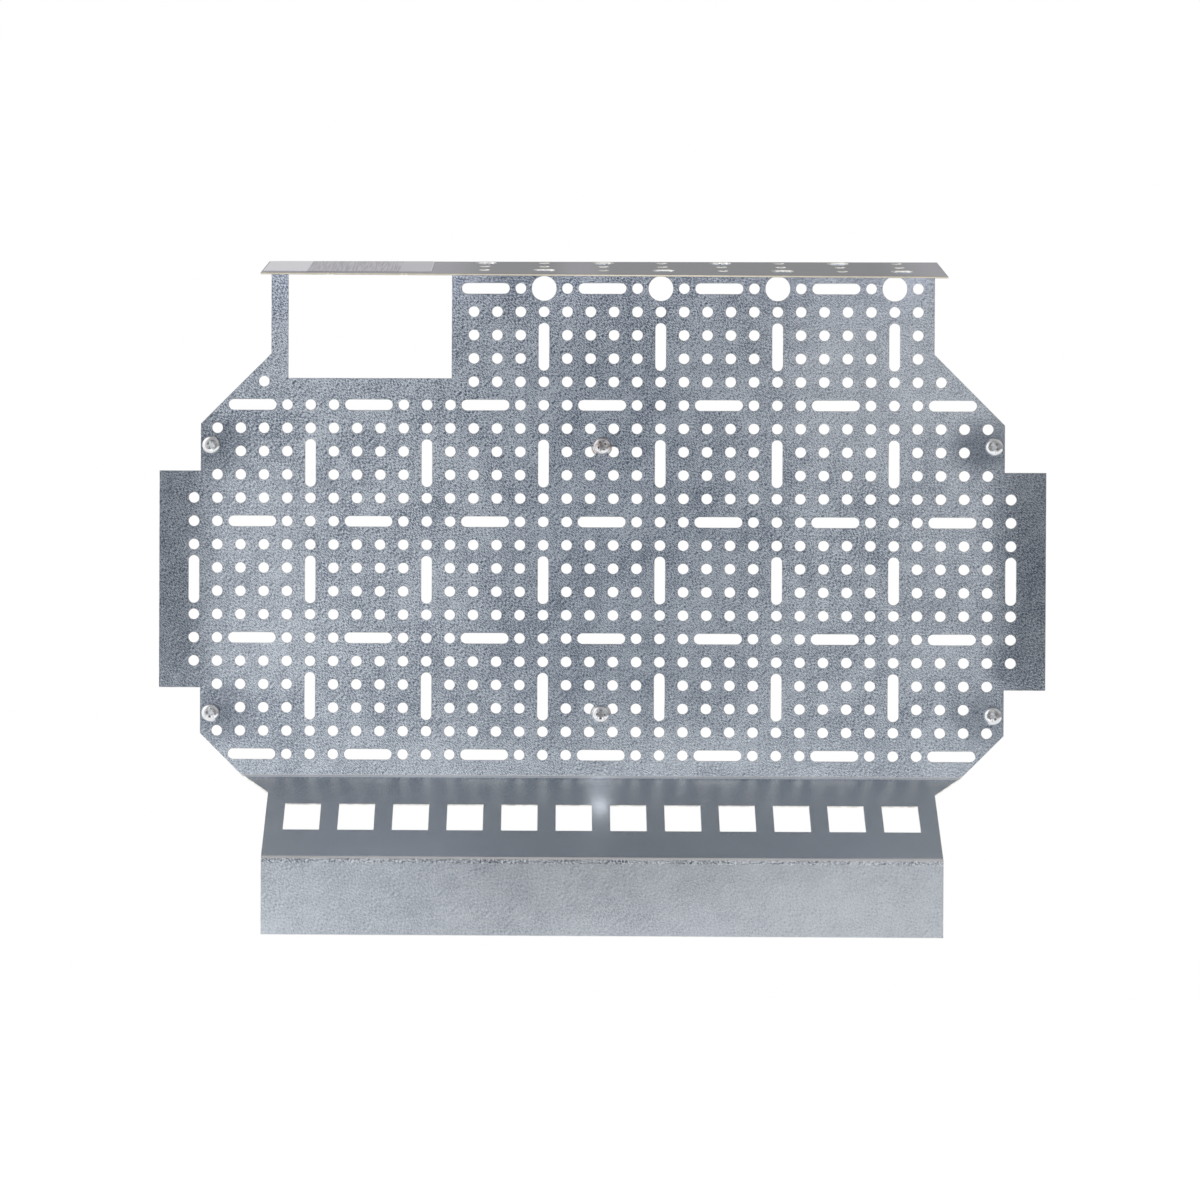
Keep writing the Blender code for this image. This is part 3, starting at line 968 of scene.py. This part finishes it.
def build_screws():
    master = screw_mesh()
    bright = zinc_screw("zinc_screw", 0.0)
    stained = zinc_screw("zinc_screw_stained", 0.36)
    for name, centre in screw_nodes():
        shape = bmesh.new()
        shape.from_mesh(master)
        spin = Matrix.Rotation(math.radians(SCREW_SPINS[name]), 4, "Y")
        seat = Matrix.Translation((centre.x, -SHEET - SEAT_GAP, centre.z))
        shape.transform(seat @ spin)
        look = stained if name == COPPERY_SCREW else bright
        add_piece(f"threaded_screw_{name}", shape, (look,), [f"screw_{name}"])


def washer_shape(low, high):
    """Ring with rounded edges whose bore carries short teeth that stand close to the thread."""
    outer = (high.x - low.x) / 2
    thick = high.y - low.y
    corner = thick * WASHER_CORNER
    shape = bmesh.new()
    rings = []
    for side in range(WASHER_SIDES):
        turn = 2 * math.pi * side / WASHER_SIDES
        inner = WASHER_BORE - WASHER_TOOTH * max(0.0, math.cos(WASHER_TEETH * turn)) ** 0.5
        section = []
        corners = ((inner + corner, corner, math.pi), (outer - corner, corner, -math.pi / 2),
                   (outer - corner, thick - corner, 0.0), (inner + corner, thick - corner, math.pi / 2))
        for radius, y, start in corners:
            for step in range(WASHER_CORNER_STEPS + 1):
                bend = start + math.pi / 2 * step / WASHER_CORNER_STEPS
                section.append((radius + corner * math.cos(bend), y + corner * math.sin(bend)))
        rings.append([shape.verts.new((r * math.cos(turn), y, r * math.sin(turn))) for r, y in section])
    for near, far in zip(rings, rings[1:] + rings[:1]):
        for index in range(len(near)):
            after = (index + 1) % len(near)
            shape.faces.new((near[index], near[after], far[after], far[index]))
    bmesh.ops.recalc_face_normals(shape, faces=shape.faces)
    middle = (low + high) / 2
    shape.transform(Matrix.Translation((middle.x, low.y, middle.z)))
    return shape


def build_washers():
    look = nylon()
    for name, _ in screw_nodes():
        node = f"retaining_washer_{name}"
        add_piece(f"toothed_washer_{name}", washer_shape(*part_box(node)), (look,), [node])


def build_label():
    """Film with rounded corners, lying on the flange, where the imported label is."""
    low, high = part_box("label")
    corner = LABEL_CORNER
    slope = math.cos(FLANGE_TURN - math.pi / 2)
    length = (high.y - low.y) / slope
    near = LABEL_NEAR_CREASE
    points = []
    for x, along, start in ((high.x - corner, near + corner, -math.pi / 2),
                            (high.x - corner, near + length - corner, 0.0),
                            (low.x + corner, near + length - corner, math.pi / 2),
                            (low.x + corner, near + corner, math.pi)):
        for step in range(LABEL_CORNER_STEPS + 1):
            turn = start + math.pi / 2 * step / LABEL_CORNER_STEPS
            points.append((x + corner * math.cos(turn), flange_height(along + corner * math.sin(turn))))
    shape = bmesh.new()
    rings = []
    underside = SHEET / 2 + LABEL_GAP
    for behind in (underside, underside + LABEL_THICKNESS):
        rings.append([shape.verts.new(folded(x, height, behind)) for x, height in points])
    shape.faces.new(rings[0])
    shape.faces.new(rings[1])
    for index in range(len(points)):
        after = (index + 1) % len(points)
        shape.faces.new((rings[0][index], rings[0][after], rings[1][after], rings[1][index]))
    bmesh.ops.recalc_face_normals(shape, faces=shape.faces)
    add_piece("printed_label", shape, (label_print(),), ["label"])


# Studio

def build_camera():
    data = bpy.data.cameras.new("camera")
    data.lens = LENS
    data.sensor_width = SENSOR
    data.shift_x, data.shift_y = SHIFT
    camera = bpy.data.objects.new("camera", data)
    place = Vector(CAMERA_PLACE)
    looking = (Vector(CAMERA_TARGET) - place).to_track_quat("-Z", "Y")
    roll = Matrix.Rotation(CAMERA_ROLL, 4, "Z")
    camera.matrix_world = Matrix.Translation(place) @ looking.to_matrix().to_4x4() @ roll
    bpy.context.scene.collection.objects.link(camera)
    bpy.context.scene.camera = camera


def build_floor():
    """Pale floor, well below the plate, which hangs on its mount: white to the eye, dimmer in reflections."""
    shape = bmesh.new()
    bmesh.ops.create_grid(shape, x_segments=1, y_segments=1, size=FLOOR_SIDE / 2)
    shape.transform(Matrix.Translation((0.0, 0.0, cad_box[0].z - FLOOR_DROP)))
    mesh = bpy.data.meshes.new("floor")
    shape.to_mesh(mesh)
    shape.free()
    look = Look("floor")
    seen = look.add("ShaderNodeLightPath").outputs["Is Camera Ray"]
    look.set(Base_Color=(0.8, 0.8, 0.8, 1.0), Emission_Color=(1.0, 1.0, 1.0, 1.0))
    look.set(Emission_Strength=look.step(seen, 0.0, 1.0, FLOOR_REFLECTED, 1.0))
    mesh.materials.append(look.material)
    floor = bpy.data.objects.new("floor", mesh)
    bpy.context.scene.collection.objects.link(floor)


def area_light(name, place, target, size, power, tint=(1.0, 1.0, 1.0)):
    data = bpy.data.lights.new(name, "AREA")
    data.shape = "RECTANGLE"
    data.size, data.size_y = size
    data.energy = power
    data.color = tint
    light = bpy.data.objects.new(name, data)
    place = Vector(place)
    turned = (Vector(target) - place).to_track_quat("-Z", "Y")
    light.matrix_world = Matrix.Translation(place) @ turned.to_matrix().to_4x4()
    bpy.context.scene.collection.objects.link(light)


def band(tree, axis, start, end, strength):
    """Share of the world's glow that grows as a direction's axis component goes from start to end."""
    direction = tree.nodes.new("ShaderNodeTexCoord").outputs["Generated"]
    parts = tree.nodes.new("ShaderNodeSeparateXYZ")
    tree.links.new(direction, parts.inputs[0])
    fade = tree.nodes.new("ShaderNodeMapRange")
    fade.interpolation_type = "SMOOTHSTEP"
    for key, value in (("From Min", start), ("From Max", end), ("To Max", strength)):
        fade.inputs[key].default_value = value
    tree.links.new(parts.outputs[axis], fade.inputs["Value"])
    return fade.outputs["Result"]


def build_world():
    """White to the eye; to the plate a dim room with a pale backdrop, left wall and far floor."""
    world = bpy.data.worlds.new("studio")
    world.use_nodes = True
    tree = world.node_tree
    glow = None
    for axis, start, end, strength in WORLD_BANDS:
        part = band(tree, axis, start, end, strength)
        if glow is None:
            glow = part
            continue
        added = tree.nodes.new("ShaderNodeMath")
        tree.links.new(glow, added.inputs[0])
        tree.links.new(part, added.inputs[1])
        glow = added.outputs[0]
    lit = tree.nodes["Background"]
    lit.inputs["Color"].default_value = (1.0, 1.0, 1.0, 1.0)
    tree.links.new(glow, lit.inputs["Strength"])
    seen = tree.nodes.new("ShaderNodeBackground")
    seen.inputs["Color"].default_value = (1.0, 1.0, 1.0, 1.0)
    path = tree.nodes.new("ShaderNodeLightPath")
    mix = tree.nodes.new("ShaderNodeMixShader")
    tree.links.new(path.outputs["Is Camera Ray"], mix.inputs[0])
    tree.links.new(lit.outputs[0], mix.inputs[1])
    tree.links.new(seen.outputs[0], mix.inputs[2])
    tree.links.new(mix.outputs[0], tree.nodes["World Output"].inputs["Surface"])
    bpy.context.scene.world = world


def screw_glow():
    """Light that the head of the lower middle screw throws down onto the slope."""
    low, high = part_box("screw_lower_middle")
    middle = (low + high) / 2
    place = Vector((middle.x, low.y - GLOW_AHEAD, middle.z))
    area_light("screw_glow", place, place + Vector(GLOW_WAY), GLOW_SIZE, GLOW_POWER)
    bpy.data.objects["screw_glow"].visible_camera = False


def build_studio():
    build_camera()
    build_floor()
    build_world()
    screw_glow()
    for name, x, z, width, height, power in SOFT_LIGHTS:
        area_light(name, (x, SOFT_PLACE, z), (x, 0.0, z), (width, height), power, SOFT_TINT)
    bpy.context.scene.view_settings.view_transform = "Standard"


build_studio()
build_plate()
build_screws()
build_washers()
build_label()
bpy.context.view_layer.update()
